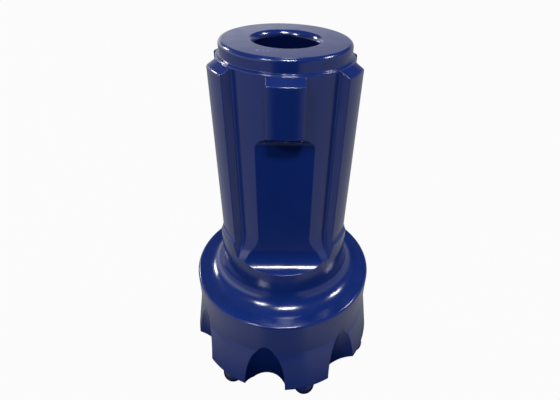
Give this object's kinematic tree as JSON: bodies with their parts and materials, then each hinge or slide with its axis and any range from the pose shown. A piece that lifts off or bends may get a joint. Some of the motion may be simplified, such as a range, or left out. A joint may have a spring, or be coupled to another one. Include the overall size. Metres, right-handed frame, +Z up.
{
  "type": "button drill bit",
  "caption": "Down-the-hole button drill bit: bored, splined shank with cross pockets and run-out grooves, and a fluted head set with carbide buttons.",
  "frame": {"origin": "on the bit's axis, at the level of the tips of the face buttons that it stands on", "axes": "+Z up along the axis, from the drilling face to the struck end of the shank; -Y towards the front retaining pocket; +X to the right of it"},
  "size_m": [0.108, 0.1083, 0.185],
  "materials": {
    "navy_paint": "satin",
    "painted_carbide": "satin"
  },
  "bodies": {
    "root": {"bit_body": "navy_paint", "gauge_button_1": "painted_carbide", "gauge_button_2": "painted_carbide", "gauge_button_3": "painted_carbide", "gauge_button_4": "painted_carbide", "gauge_button_5": "painted_carbide", "gauge_button_6": "painted_carbide", "gauge_button_7": "painted_carbide", "face_button_1": "painted_carbide", "face_button_2": "painted_carbide", "face_button_3": "painted_carbide", "face_button_4": "painted_carbide", "face_button_5": "painted_carbide", "face_button_6": "painted_carbide"}
  },
  "joints": []
}
